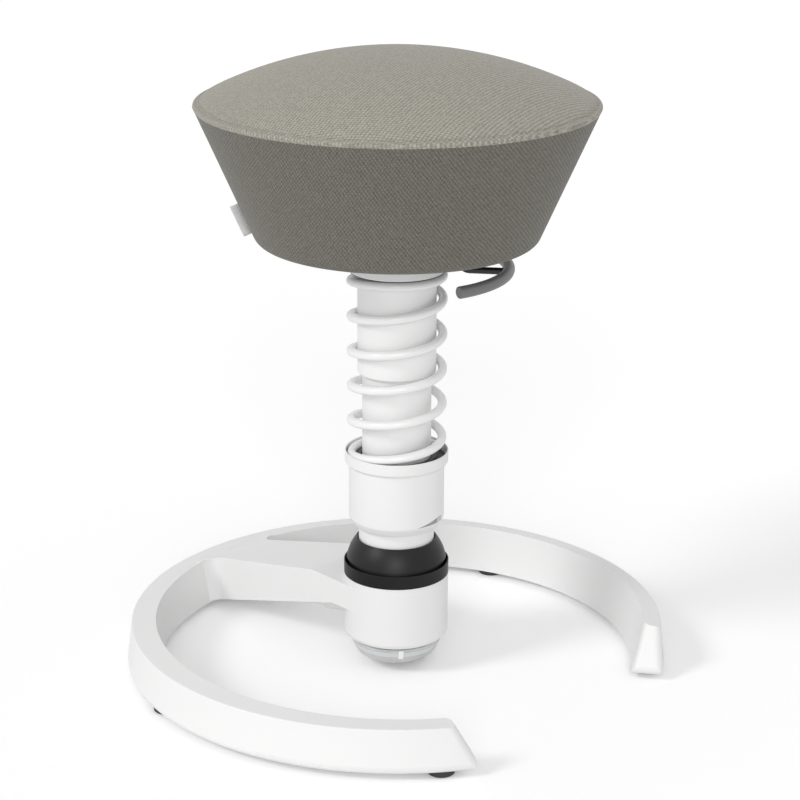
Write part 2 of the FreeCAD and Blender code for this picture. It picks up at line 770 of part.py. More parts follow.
def adjusting_cup():
    cup = turned([
        (NECK_R + GAP, CUP_FOOT_Z, 0),
        (CUP_FOOT_R, CUP_FOOT_Z, 1.5),
        (CUP_R, CUP_CHAMFER_Z, 4),
        (CUP_R, CUP_RIM_Z - 3, 1.5),
        (CUP_RIM_R, CUP_RIM_Z, 1.0),
        (CUP_RIM_R, CUP_TOP_Z, 0.5),
        (CUP_RIM_R - CUP_RIM_WALL, CUP_TOP_Z, 0.3),
        (CUP_RIM_R - CUP_RIM_WALL, CUP_RIM_Z + 1.3, 0),
        (CUP_R - CUP_WALL, CUP_RIM_Z - 2.8, 0),
        (CUP_R - CUP_WALL, CUP_FOOT_Z + CUP_FLOOR, 0),
        (NECK_R + GAP, CUP_FOOT_Z + CUP_FLOOR, 0),
    ])
    return cup.cut(cup_scale())


def cup_scale():
    """Wedge and bars inlaid flush in the cup's side: a plain gauge that rises with the setting."""
    start, end = SCALE_DEG
    layer = tube(CUP_R, CUP_R - SCALE_DEPTH, SCALE_FOOT_Z - 2, SCALE_FOOT_Z + SCALE_RISE + 2)
    chord = CUP_R * math.radians(end - start)
    wedge = Part.makePolygon([
        V(0, 0, SCALE_FOOT_Z),
        V(0, chord, SCALE_FOOT_Z),
        V(0, chord, SCALE_FOOT_Z + SCALE_RISE),
        V(0, 0, SCALE_FOOT_Z),
    ])
    marks = [Part.Face(wedge).extrude(X * CUP_R * 2)]
    for offset in SCALE_BARS:
        foot = V(0, chord + offset, SCALE_FOOT_Z)
        marks.append(Part.makeBox(CUP_R * 2, SCALE_BAR, SCALE_RISE, foot))
    pieces = []
    for mark in marks:
        mark.translate(V(0, -chord / 2, 0))
        pieces.append(layer.common(around(mark, (start + end) / 2)))
    return Part.makeCompound([s for piece in pieces for s in piece.Solids])


def spring_seat():
    top_z = SPRING_FOOT_Z - WIRE_R - 0.05
    ring = turned([
        (SEAT_RING_BORE_R, top_z - SEAT_RING, 0),
        (CUP_R - CUP_WALL - GAP, top_z - SEAT_RING, 0),
        (CUP_R - CUP_WALL - GAP, CUP_RIM_Z - 2.1, 0),
        (CUP_RIM_R - CUP_RIM_WALL - GAP, top_z - 0.4, 0),
        (CUP_RIM_R - CUP_RIM_WALL - GAP, top_z, 0),
        (SEAT_RING_BORE_R, top_z, 0),
    ])
    wall = tube(SPRING_R - WIRE_R - 0.6, SEAT_RING_BORE_R, top_z - 1, top_z + LUG_RISE)
    return ring.fuse(wall).removeSplitter()


# Coil spring

def helix_z(angle_deg):
    """Height of the wire's centre over its own run: flat, full pitch, easing, flat."""
    run = angle_deg - DEAD_FOOT_DEG
    if run <= 0:
        return SPRING_FOOT_Z
    open_deg = SPRING_TURNS * 360
    if run <= open_deg:
        return SPRING_FOOT_Z + SPRING_PITCH * run / 360
    top = SPRING_FOOT_Z + SPRING_PITCH * SPRING_TURNS
    part = min(1.0, (run - open_deg) / RISE_TOP_DEG)
    return top + RISE_TOP * part * (2 - part)


def helix_point(angle_deg):
    return at_polar(SPRING_R, SPRING_START_DEG + angle_deg, helix_z(angle_deg))


def helix_way(angle_deg):
    """Unit tangent, from the heights half a step either side."""
    step = 8.0
    rise = (helix_z(angle_deg + step) - helix_z(angle_deg - step)) / math.radians(2 * step)
    flat = at_polar(1.0, SPRING_START_DEG + angle_deg + 90, 0)
    way = flat * SPRING_R + Z * rise
    way.normalize()
    return way


def tangent_arc(start, way, end):
    """Arc from start, leaving along way, to end."""
    chord = end - start
    normal = way.cross(chord).cross(way)
    normal.normalize()
    radius = chord.dot(chord) / (2 * chord.dot(normal))
    centre = start + normal * radius
    middle = (start + end) * 0.5 - centre
    middle.normalize()
    return arc(start, centre + middle * radius, end)


def biarc(p1, t1, p2, t2):
    span = p2 - p1
    both = t1 + t2
    bend = 2 * (1 - t1.dot(t2))
    reach = (-span.dot(both) + math.sqrt(span.dot(both) ** 2 + bend * span.dot(span))) / bend
    joint = (p1 + t1 * reach + p2 - t2 * reach) * 0.5
    first = tangent_arc(p1, t1, joint)
    back = tangent_arc(p2, t2 * -1, joint)
    return [first, back]


def spring_path():
    total = DEAD_FOOT_DEG + SPRING_TURNS * 360 + RISE_TOP_DEG + DEAD_TOP_DEG
    steps = int(round(total / 90.0))
    angles = [total * i / steps for i in range(steps + 1)]
    points = [helix_point(a) for a in angles]
    ways = [helix_way(a) for a in angles]
    ways[0] = at_polar(1.0, SPRING_START_DEG + 90, 0)
    ways[-1] = at_polar(1.0, SPRING_START_DEG + total + 90, 0)
    lead = WIRE_R * 2
    edges = [line(points[0] - ways[0] * lead, points[0])]
    for i in range(steps):
        edges.extend(biarc(points[i], ways[i], points[i + 1], ways[i + 1]))
    edges.append(line(points[-1], points[-1] + ways[-1] * lead))
    return Part.Wire(edges), ways[0], points[0] - ways[0] * lead


def coil_spring():
    path, way, start = spring_path()
    section = Part.Wire(Part.makeCircle(WIRE_R, start, way))
    wound = Part.BRepOffsetAPI.MakePipeShell(path)
    wound.add(section)
    wound.build()
    wound.makeSolid()
    solid = wound.shape()
    if solid.Volume < 0:
        solid.reverse()
    samples = path.discretize(Number=900)
    step = path.Length / (len(samples) - 1)
    skip = int(SPRING_R * 1.5 / step)
    least = min((samples[i] - samples[j]).Length
                for i in range(0, len(samples), 3) for j in range(i + skip, len(samples), 3))
    print("spring: least gap between turns", round(least - 2 * WIRE_R, 2), "mm")
    print("spring: volume over section times length", round(solid.Volume / (math.pi * WIRE_R ** 2 * path.Length), 4))
    return solid


# Upper column

def top_cap():
    cap = turned([
        (CYL_BUSH_R, CAP_Z, 0),
        (CAP_R, CAP_Z, 1.0),
        (CAP_R, CAP_TOP_Z, 2.0),
        (CYL_BUSH_R, CAP_TOP_Z, 0),
    ])
    return cap


def spring_pad():
    return tube(CAP_R - 0.6, UPPER_TUBE_R, CAP_Z - PAD_THICK, CAP_Z)


def upper_tube():
    return turned([
        (UPPER_TUBE_R - UPPER_TUBE_WALL, UPPER_TUBE_Z, 0),
        (UPPER_TUBE_R, UPPER_TUBE_Z, UPPER_TUBE_ROUND),
        (UPPER_TUBE_R, CAP_Z, 0),
        (UPPER_TUBE_R - UPPER_TUBE_WALL, CAP_Z, 0),
    ])


def carrier_tube():
    return tube(CARRIER_R, CARRIER_R - CARRIER_WALL, CARRIER_FOOT_Z, CAP_Z)


def carrier_floor():
    return tube(CARRIER_R - CARRIER_WALL, ROD_R + RUN_FIT, CARRIER_FLOOR_Z, CARRIER_FLOOR_Z + CARRIER_FLOOR)


def slide_ring():
    return tube(GUIDE_R - GUIDE_WALL - RUN_FIT, CARRIER_R, CARRIER_FOOT_Z + 1, CARRIER_FOOT_Z + 1 + SLIDE_RING_LENGTH)


def cylinder_bush():
    return tube(CYL_BUSH_R, CYL_R + RUN_FIT, CAP_TOP_Z - CYL_BUSH_LENGTH, CAP_TOP_Z)


# Gas spring

def piston_rod():
    rod = disc(ROD_R, ROD_FOOT_Z, ROD_TOP_Z)
    piston_z = ROD_TOP_Z - PISTON_HEIGHT
    return rod.fuse(disc(CYL_R - CYL_WALL - RUN_FIT, piston_z, ROD_TOP_Z)).removeSplitter()


def rod_clip():
    return tube(CLIP_R, ROD_R, CARRIER_FLOOR_Z - GAP - CLIP_THICK, CARRIER_FLOOR_Z - GAP)


def thrust_bearing():
    """Two races with balls between, on which the rod turns in the carrier."""
    z = CARRIER_FLOOR_Z + CARRIER_FLOOR + GAP
    gap = 2 * RACE_BALL_R
    lower = tube(RACE_R, ROD_R, z, z + RACE_THICK)
    upper = tube(RACE_R, ROD_R, z + RACE_THICK + gap, z + 2 * RACE_THICK + gap)
    ball_z = z + RACE_THICK + RACE_BALL_R
    balls = [Part.makeSphere(RACE_BALL_R, at_polar(RACE_BALL_PCD / 2, 360.0 * i / RACE_BALLS, ball_z))
             for i in range(RACE_BALLS)]
    return [lower, upper] + balls


def gas_cylinder_outline():
    return turned([
        (0, CYL_FOOT_Z, 0),
        (CYL_R, CYL_FOOT_Z, 1.0),
        (CYL_R, CYL_TAPER_Z, 0),
        (CYL_TOP_R, CYL_TOP_Z, 0),
        (0, CYL_TOP_Z, 0),
    ])


def gas_cylinder():
    body = gas_cylinder_outline()
    body = body.cut(disc(CYL_R - CYL_WALL, CYL_FOOT_Z + CYL_END, CYL_TAPER_Z))
    body = body.cut(disc(ROD_R + RUN_FIT, CYL_FOOT_Z - 1, CYL_FOOT_Z + CYL_END + 1))
    return body.cut(disc(PIN_R + RUN_FIT, CYL_TAPER_Z - 1, CYL_TOP_Z + 1))


def release_pin():
    return disc(PIN_R, PIN_TOP_Z - PIN_LENGTH, PIN_TOP_Z)


# Seat

def side_r(z, inset):
    """Radius of the seat's side at a height, moved in by a thickness square to it."""
    lean = math.atan(SIDE_SLOPE)
    return SIDE_REF_R + (z - SIDE_REF_Z) * SIDE_SLOPE - inset / math.cos(lean)


def crown_sphere_r():
    sag = CROWN_Z - SEAM_Z - PIPING_R
    return (SEAT_R ** 2 + sag ** 2) / (2 * sag)


def crown_z(r, inset):
    """Height of the crown at a radius, moved down by a thickness square to it."""
    big = crown_sphere_r()
    return CROWN_Z - big + math.sqrt((big - inset) ** 2 - r ** 2)


def crown_face(corners, r0, r1, inset):
    """Face whose upper edge is the crown's arc between two radii; corners close it below, from r1 back to r0."""
    start = V(r0, 0, crown_z(r0, inset))
    mid_r = (r0 + r1) / 2
    end = V(r1, 0, crown_z(r1, inset))
    edges = [arc(start, V(mid_r, 0, crown_z(mid_r, inset)), end)]
    chain = [end] + [V(r, 0, z) for r, z in corners] + [start]
    for a, b in zip(chain, chain[1:]):
        if (b - a).Length > 1e-6:
            edges.append(line(a, b))
    return Part.Face(Part.Wire(edges))


def seat_shell():
    deck_top = DECK_Z + DECK
    shell_in = FABRIC + SIDE_FOAM
    edge_r = side_r(SHELL_EDGE_Z, shell_in)
    foot_r = side_r(SHELL_FOOT_Z, shell_in)
    inner_in = shell_in + SHELL_WALL
    profile = [
        (0, DECK_Z, 0),
        (WELL_R, DECK_Z, 0),
        (WELL_R, SHELL_FOOT_Z, 0),
        (WELL_R + WELL_WALL, SHELL_FOOT_Z, 0),
        (WELL_R + WELL_WALL, DECK_Z - 4, 3),
        (DECK_R - 2, DECK_Z - 4, 3),
        (side_r(SHELL_EDGE_Z - 4, inner_in), SHELL_EDGE_Z - 4, 2),
        (side_r(SHELL_FOOT_Z, inner_in), SHELL_FOOT_Z, 0),
        (foot_r, SHELL_FOOT_Z, 0),
        (edge_r, SHELL_EDGE_Z, 4),
        (DECK_R, deck_top, 8),
        (0, deck_top, 0),
    ]
    shell = turned(profile)
    shell = cut_all(shell, plate_screw_set())
    return cut_all(shell, under_screw_set())


def foam_pad():
    """Moulded foam over the deck and down the side, with the crown's form."""
    deck_top = DECK_Z + DECK
    shell_in = FABRIC + SIDE_FOAM
    edge_r = side_r(SHELL_EDGE_Z, shell_in)
    foot_r = side_r(SHELL_FOOT_Z, shell_in)
    rim_z = SEAM_Z - 1.0
    rim_r = side_r(rim_z - 4, FABRIC)
    face = crown_face([
        (rim_r, rim_z - 4),
        (side_r(SHELL_FOOT_Z + 1, FABRIC), SHELL_FOOT_Z + 1),
        (side_r(SHELL_FOOT_Z + 1, FABRIC) - 4, SHELL_FOOT_Z),
        (foot_r, SHELL_FOOT_Z),
        (edge_r, SHELL_EDGE_Z),
        (DECK_R, deck_top),
        (0, deck_top),
    ], 0, SEAT_R - 5, FABRIC)
    return face.revolve(ORIGIN, Z, 360).cut(seat_shell()).cut(rim_piping())


def seat_cover_top():
    outer_r = SEAT_R - 2.6
    upper = crown_face([(outer_r, SEAM_Z - 3), (0, SEAM_Z - 3)], 0, outer_r, 0).revolve(ORIGIN, Z, 360)
    lower = crown_face([(outer_r + 1, SEAM_Z - 4), (0, SEAM_Z - 4)], 0, outer_r + 1, FABRIC).revolve(ORIGIN, Z, 360)
    return upper.cut(lower).cut(foam_pad()).cut(rim_piping())


def seat_cover_side():
    """Cover's side panel, turned in under the seat."""
    top_z = SEAM_Z - 1.4
    shoulder_z = SIDE_REF_Z + (SEAT_R - SIDE_REF_R) / SIDE_SLOPE
    foot = SEAT_FOOT_Z
    outer = turned([
        (0, foot, 0),
        (side_r(foot, 0), foot, SEAT_CORNER),
        (side_r(shoulder_z, 0), shoulder_z, 3),
        (SEAT_R - 1.0, top_z, 0),
        (0, top_z, 0),
    ])
    inner = turned([
        (0, foot + FABRIC, 0),
        (side_r(foot + FABRIC, FABRIC), foot + FABRIC, SEAT_CORNER - FABRIC),
        (side_r(top_z + 1, FABRIC), top_z + 1, 0),
        (0, top_z + 1, 0),
    ])
    panel = outer.cut(inner).cut(disc(HEM_R, foot - 1, foot + FABRIC + 1))
    return panel.cut(foam_pad()).cut(seat_cover_top()).cut(rim_piping())


def rim_piping():
    return Part.makeTorus(SEAT_R - PIPING_INSET, PIPING_R, V(0, 0, SEAM_Z), Z)


def underside_cover():
    z0 = SHELL_FOOT_Z - UNDER_COVER
    cover = tube(side_r(z0, FABRIC + SIDE_FOAM), WELL_R, z0, SHELL_FOOT_Z)
    return cut_all(cover.cut(seat_cover_side()), under_screw_set())


def side_label():
    """Plain woven tab sewn into the side; it stands out like a small flag and carries no marks."""
    root = side_r(LABEL_FOOT_Z, 0.6)
    lean = math.degrees(math.atan(SIDE_SLOPE))
    tab = Part.makeBox(LABEL_WIDTH + 0.6, LABEL_THICK, LABEL_LENGTH, V(0, -LABEL_THICK / 2, 0))
    tab.rotate(ORIGIN, Y, lean)
    tab.translate(V(root, 0, LABEL_FOOT_Z))
    return around(tab, LABEL_DEG).cut(seat_cover_side()).cut(foam_pad())


def plate_screw_set():
    head_z = DECK_Z - PLATE_THICK - PLATE_SCREW_HEAD
    return screws(PLATE_SCREW_HEAD_R, PLATE_SCREW_HEAD, PLATE_SCREW_R, PLATE_THICK + PLATE_SCREW_GRIP,
                  PLATE_SCREW_PCD, PLATE_SCREWS, head_z, LEVER_DEG + 45)


def under_screw_set():
    head_z = SHELL_FOOT_Z - UNDER_COVER - 0.4
    return screws(UNDER_SCREW_HEAD_R, UNDER_SCREW_HEAD, UNDER_SCREW_R, 9.0,
                  UNDER_SCREW_PCD, UNDER_SCREWS, head_z, LEVER_DEG + 30)


def seat_plate():
    plate = disc(PLATE_R, DECK_Z - PLATE_THICK, DECK_Z)
    return cut_all(plate, plate_screw_set())


def lever_slot():
    """Room in the housing for the lever's inner end and its swing."""
    foot_z = CYL_TOP_Z - LEVER_SLOT_DROP
    slot = Part.makeBox(HOUSING_LENGTH, LEVER_SLOT, DECK_Z - foot_z, V(-LEVER_SLOT_BACK, -LEVER_SLOT / 2, foot_z))
    return around(slot, LEVER_DEG)


def mechanism_housing():
    z1 = DECK_Z - PLATE_THICK
    corners = [
        (-HOUSING_LENGTH / 2 + HOUSING_SHIFT, -HOUSING_WIDTH / 2, 10),
        (HOUSING_LENGTH / 2 + HOUSING_SHIFT, -HOUSING_WIDTH / 2, 10),
        (HOUSING_LENGTH / 2 + HOUSING_SHIFT, HOUSING_WIDTH / 2, 10),
        (-HOUSING_LENGTH / 2 + HOUSING_SHIFT, HOUSING_WIDTH / 2, 10),
    ]
    wire = rounded(corners, lambda p: V(p.x, p.y, HOUSING_Z))
    block = around(Part.Face(wire).extrude(Z * (z1 - HOUSING_Z)), LEVER_DEG)
    block = block.cut(gas_cylinder_outline()).cut(lever_slot())
    block = block.cut(disc(PIN_R + 2, CYL_TOP_Z - 1, z1 - 1))
    return block.cut(pivot_pin())


def pivot_pin(play=0.0):
    half = HOUSING_WIDTH / 2 - 4
    pin = Part.makeCylinder(LEVER_PIN_R + play, 2 * half, V(LEVER_PIVOT_R, -half, LEVER_TOP_Z), Y)
    return around(pin, LEVER_DEG)


def lever_arm():
    """One bent rod: over the release pin, down inside the well and out under the seat."""
    bend = LEVER_BEND_R
    z0, z1 = LEVER_Z, LEVER_TOP_Z
    side = bend * (1 - math.sqrt(0.5))
    inner = V(-LEVER_TIP, 0, z1)
    edges = [
        line(inner, V(LEVER_DROP_R - bend, 0, z1)),
        arc(V(LEVER_DROP_R - bend, 0, z1), V(LEVER_DROP_R - side, 0, z1 - side), V(LEVER_DROP_R, 0, z1 - bend)),
        line(V(LEVER_DROP_R, 0, z1 - bend), V(LEVER_DROP_R, 0, z0 + bend)),
        arc(V(LEVER_DROP_R, 0, z0 + bend), V(LEVER_DROP_R + side, 0, z0 + side), V(LEVER_DROP_R + bend, 0, z0)),
        line(V(LEVER_DROP_R + bend, 0, z0), V(GRIP_ARC_R - 1, 0, z0)),
    ]
    path = Part.Wire(edges)
    section = Part.Wire(Part.makeCircle(LEVER_R, inner, X))
    rod = Part.BRepOffsetAPI.MakePipeShell(path)
    rod.add(section)
    rod.build()
    rod.makeSolid()
    flat = Part.makeBox(PIN_R + 12, 4 * LEVER_R, 3, V(-6, -2 * LEVER_R, LEVER_TOP_Z - LEVER_FLAT - 3))
    arm = around(rod.shape().cut(flat), LEVER_DEG)
    return arm.cut(pivot_pin(RUN_FIT)).cut(lever_grip())


def lever_grip():
    half = math.radians(GRIP_HALF_DEG)

    def on_arc(a):
        return V(GRIP_ARC_R * math.cos(a), GRIP_ARC_R * math.sin(a), LEVER_Z)

    start = on_arc(-half)
    path = Part.Wire([arc(start, on_arc(0), on_arc(half))])
    way = V(math.sin(half), math.cos(half), 0)
    grip = Part.BRepOffsetAPI.MakePipeShell(path)
    grip.add(Part.Wire(Part.makeCircle(GRIP_R, start, way)))
    grip.build()
    grip.makeSolid()
    solid = grip.shape()
    ends = [e for e in solid.Edges if abs(e.Length - 2 * math.pi * GRIP_R) < 0.2]
    solid = solid.makeFillet(GRIP_EDGE, ends)
    return around(solid, LEVER_DEG)


NODES = {
    "foot_frame": foot_frame,
    "floor_glides": lambda: [glide(p) for p in glide_places()],
    "glide_screws": lambda: [glide_screw(p) for p in glide_places()],
    "arm_screw": arm_screw,
    "rim_band": rim_band,
    "socket_cup": socket_cup,
    "hub_base_plate": hub_base_plate,
    "base_screws": base_screw_set,
    "stiffness_knob": stiffness_knob,
    "knob_scale": knob_scale,
    "knob_mark": knob_mark,
    "adjust_spindle": adjust_spindle,
    "pressure_plate": pressure_plate,
    "swing_bush": swing_bush,
    "ball_stub": ball_stub,
    "neck_collar": neck_collar,
    "tilt_boot": boot,
    "guide_tube": guide_tube,
    "guide_bush": guide_bush,
    "bump_stop": bump_stop,
    "coil_spring": coil_spring,
    "spring_seat": spring_seat,
    "adjusting_cup": adjusting_cup,
    "cup_scale": cup_scale,
    "top_cap": top_cap,
    "spring_pad": spring_pad,
    "upper_tube": upper_tube,
    "carrier_tube": carrier_tube,
    "carrier_floor": carrier_floor,
    "slide_ring": slide_ring,
    "cylinder_bush": cylinder_bush,
    "piston_rod": piston_rod,
    "rod_clip": rod_clip,
    "thrust_bearing": thrust_bearing,
    "gas_cylinder": gas_cylinder,
    "release_pin": release_pin,
    "seat_plate": seat_plate,
    "plate_screws": plate_screw_set,
    "mechanism_housing": mechanism_housing,
    "pivot_pin": pivot_pin,
    "seat_shell": seat_shell,
    "foam_pad": foam_pad,
    "seat_cover_top": seat_cover_top,
    "seat_cover_side": seat_cover_side,
    "rim_piping": rim_piping,
    "underside_cover": underside_cover,
    "under_screws": under_screw_set,
    "side_label": side_label,
    "lever_arm": lever_arm,
    "lever_grip": lever_grip,
}

os.makedirs("parts", exist_ok=True)
for node, make in NODES.items():
    save(node, make())
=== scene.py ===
import math

import bpy
from mathutils import Matrix, Vector


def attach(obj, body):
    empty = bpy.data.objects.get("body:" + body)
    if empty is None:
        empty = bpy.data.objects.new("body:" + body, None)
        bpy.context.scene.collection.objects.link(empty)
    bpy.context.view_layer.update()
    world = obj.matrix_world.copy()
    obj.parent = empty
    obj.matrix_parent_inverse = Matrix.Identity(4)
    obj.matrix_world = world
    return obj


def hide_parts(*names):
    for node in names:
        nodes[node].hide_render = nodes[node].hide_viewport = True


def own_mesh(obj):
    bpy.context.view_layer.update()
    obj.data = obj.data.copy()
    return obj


# Wobble stool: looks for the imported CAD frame. Metres; +Z up, the ring opens towards -Y.

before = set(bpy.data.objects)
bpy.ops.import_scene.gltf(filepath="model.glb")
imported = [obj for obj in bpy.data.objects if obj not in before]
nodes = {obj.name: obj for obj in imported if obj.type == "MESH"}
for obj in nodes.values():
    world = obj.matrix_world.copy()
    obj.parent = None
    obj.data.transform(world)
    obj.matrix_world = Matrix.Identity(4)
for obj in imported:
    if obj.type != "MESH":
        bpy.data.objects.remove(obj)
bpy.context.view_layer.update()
MM = 0.001


# Camera, solved from the photo's circles

CAMERA_AT = (-1.4931, -1.3924, 0.9371)
CAMERA_LENS, CAMERA_SENSOR, CAMERA_REACH = 105.06, 36, 50
CAMERA_YAW, CAMERA_PITCH, CAMERA_ROLL = 0.083, 18.353, 0.196
CAMERA_AZIMUTH = -137.0


def add_camera():
    yaw, pitch, roll = (math.radians(a) for a in (CAMERA_YAW, CAMERA_PITCH, CAMERA_ROLL))
    ahead = Vector((math.sin(yaw) * math.cos(pitch), math.cos(yaw) * math.cos(pitch), -math.sin(pitch)))
    right = Vector((math.cos(yaw), -math.sin(yaw), 0))
    up = right.cross(ahead)
    rolled_right = right * math.cos(roll) + up * math.sin(roll)
    rolled_up = up * math.cos(roll) - right * math.sin(roll)
    turn = Matrix.Rotation(math.radians(CAMERA_AZIMUTH + 90), 3, "Z")
    axes = Matrix((rolled_right, rolled_up, -ahead)).transposed()
    data = bpy.data.cameras.new("photo_camera")
    data.lens, data.sensor_width, data.sensor_height = CAMERA_LENS, CAMERA_SENSOR, CAMERA_SENSOR
    data.clip_end = CAMERA_REACH
    camera = bpy.data.objects.new("photo_camera", data)
    camera.matrix_world = Matrix.Translation(CAMERA_AT) @ (turn @ axes).to_4x4()
    bpy.context.collection.objects.link(camera)
    bpy.context.scene.camera = camera


# Node trees

class Shade:
    """A material's node tree, with short calls for the nodes used here."""

    def __init__(self, name, colour, roughness, **sockets):
        self.material = bpy.data.materials.new(name)
        self.material.use_nodes = True
        self.tree = self.material.node_tree
        self.shader = self.tree.nodes["Principled BSDF"]
        self.shader.inputs["Base Color"].default_value = (*colour, 1)
        self.shader.inputs["Roughness"].default_value = roughness
        for socket, value in sockets.items():
            self.shader.inputs[socket.replace("_", " ")].default_value = value
        self.place = self.node("ShaderNodeTexCoord").outputs["Object"]

    def node(self, kind, **settings):
        made = self.tree.nodes.new(kind)
        for key, value in settings.items():
            setattr(made, key, value)
        return made

    def feed(self, socket, value):
        if isinstance(value, bpy.types.NodeSocket):
            self.tree.links.new(value, socket)
        else:
            socket.default_value = value

    def math(self, operation, *values):
        made = self.node("ShaderNodeMath", operation=operation)
        for socket, value in zip(made.inputs, values):
            self.feed(socket, value)
        return made.outputs[0]

    def noise(self, size, detail=2.0, stretch=None, rough=0.5):
        """Noise whose features are about size metres; stretch scales the three axes."""
        place = self.place
        if stretch:
            scaled = self.node("ShaderNodeVectorMath", operation="MULTIPLY")
            self.feed(scaled.inputs[0], self.place)
            scaled.inputs[1].default_value = stretch
            place = scaled.outputs[0]
        made = self.node("ShaderNodeTexNoise")
        self.feed(made.inputs["Vector"], place)
        made.inputs["Scale"].default_value = 1.0 / size
        made.inputs["Detail"].default_value = detail
        made.inputs["Roughness"].default_value = rough
        return made.outputs[0]

    def span(self, value, low, high, source=(0, 1)):
        """Map the source range to low..high."""
        made = self.node("ShaderNodeMapRange")
        self.feed(made.inputs["Value"], value)
        made.inputs["From Min"].default_value, made.inputs["From Max"].default_value = source
        made.inputs["To Min"].default_value = low
        made.inputs["To Max"].default_value = high
        return made.outputs[0]

    def wave(self, turns):
        """A smooth wave from 0 to 1, one to each turn."""
        return self.span(self.math("SINE", self.math("MULTIPLY", turns, 2 * math.pi)), 0, 1, (-1, 1))

    def total(self, *parts):
        """Sum of values, each times its weight."""
        result, *others = [self.math("MULTIPLY", value, weight) for value, weight in parts]
        for other in others:
            result = self.math("ADD", result, other)
        return result

    def axes(self, place):
        xyz = self.node("ShaderNodeSeparateXYZ")
        self.feed(xyz.inputs[0], place)
        return xyz.outputs

    def blend(self, factor, a, b):
        made = self.node("ShaderNodeMix", data_type="RGBA")
        self.feed(made.inputs[0], factor)
        for socket, value in ((made.inputs[6], a), (made.inputs[7], b)):
            self.feed(socket, (*value, 1) if isinstance(value, tuple) else value)
        return made.outputs[2]

    def colour(self, value):
        self.feed(self.shader.inputs["Base Color"], value)

    def roughness(self, value):
        self.feed(self.shader.inputs["Roughness"], value)

    def bump(self, height, distance, strength=1.0):
        made = self.node("ShaderNodeBump")
        made.inputs["Strength"].default_value = strength
        made.inputs["Distance"].default_value = distance
        self.feed(made.inputs["Height"], height)
        self.feed(self.shader.inputs["Normal"], made.outputs["Normal"])


def tinted(colour, factor):
    return tuple(c * factor for c in colour)


def coat(name, colour, roughness, grain, depth, **sockets):
    """Paint or moulding: faint shade drift, uneven gloss and a fine surface grain."""
    shade = Shade(name, colour, roughness, **sockets)
    drift = shade.noise(60 * MM, 3)
    shade.colour(shade.blend(drift, tinted(colour, 0.985), tinted(colour, 1.01)))
    shade.roughness(shade.span(shade.noise(9 * MM, 3), roughness * 0.88, roughness * 1.12))
    shade.bump(shade.noise(grain, 2), depth)
    return shade.material


def turned_metal(name, colour, roughness):
    """Machined metal with fine rings round the column's axis."""
    shade = Shade(name, colour, roughness, Metallic=1.0)
    rings = shade.noise(1.2 * MM, 2, (0.04, 0.04, 1.0))
    shade.roughness(shade.span(rings, roughness * 0.7, roughness * 1.4))
    shade.colour(shade.blend(shade.noise(12 * MM, 3), tinted(colour, 0.92), colour))
    shade.bump(rings, 0.02 * MM)
    return shade.material


# Cloth: a melange twill whose ribs lie flat on the crown, and wrap the side as a flat sheet wraps a cone

RIB_PITCH, RIB_WOBBLE, WOBBLE_SIZE = 3.0 * MM, 0.22, 9 * MM
THREAD_PITCH, THREAD_LEAN = 2.7 * MM, 0.5
FIBRE_SIZE, PATCH_SIZE, SPECKLE_RANGE, SPECKLE_ROUGH = 1.5 * MM, 4.5 * MM, (0.34, 0.66), 0.6
RIB_SHADE, THREAD_SHADE = 0.25, 0.35
WEAVE_SHARE, FIBRE_SHARE, PATCH_SHARE = 0.62, 0.40, 0.10
WEAVE_RISE, FIBRE_RISE, RELIEF, RELIEF_STRENGTH = 0.8, 0.3, 0.26 * MM, 0.7
CLOTH_ROUGHNESS = 0.92
CONE_HALF_DEG = 24.3
SIDE_SEAM_DEG = 133.0
TOP_RIB_DEG = 11.0
SIDE_RIB_NORMAL_DEG = 20.0


def turned(shade, x, y, degrees):
    """A flat place measured along two axes turned by an angle."""
    c, s = math.cos(math.radians(degrees)), math.sin(math.radians(degrees))
    return shade.total((x, c), (y, s)), shade.total((y, c), (x, -s))


def flat_ribs(shade, rib_deg):
    """Distances across and along ribs that run at an angle in plan."""
    x, y, _ = shade.axes(shade.place)
    along, across = turned(shade, x, y, rib_deg)
    return across, along


def cone_ribs(shade, normal_deg):
    """The same on the cone of the side, unrolled from the seam at the label."""
    turn = shade.node("ShaderNodeVectorRotate", rotation_type="Z_AXIS")
    shade.feed(turn.inputs["Vector"], shade.place)
    turn.inputs["Angle"].default_value = math.radians(180 - SIDE_SEAM_DEG)
    x, y, _ = shade.axes(turn.outputs[0])
    slope = math.sin(math.radians(CONE_HALF_DEG))
    square = shade.math("ADD", shade.math("MULTIPLY", x, x), shade.math("MULTIPLY", y, y))
    rho = shade.math("DIVIDE", shade.math("SQRT", square), slope)
    phi = shade.math("MULTIPLY", shade.math("ARCTAN2", y, x), slope)
    flat_x = shade.math("MULTIPLY", rho, shade.math("COSINE", phi))
    flat_y = shade.math("MULTIPLY", rho, shade.math("SINE", phi))
    return turned(shade, flat_x, flat_y, normal_deg)


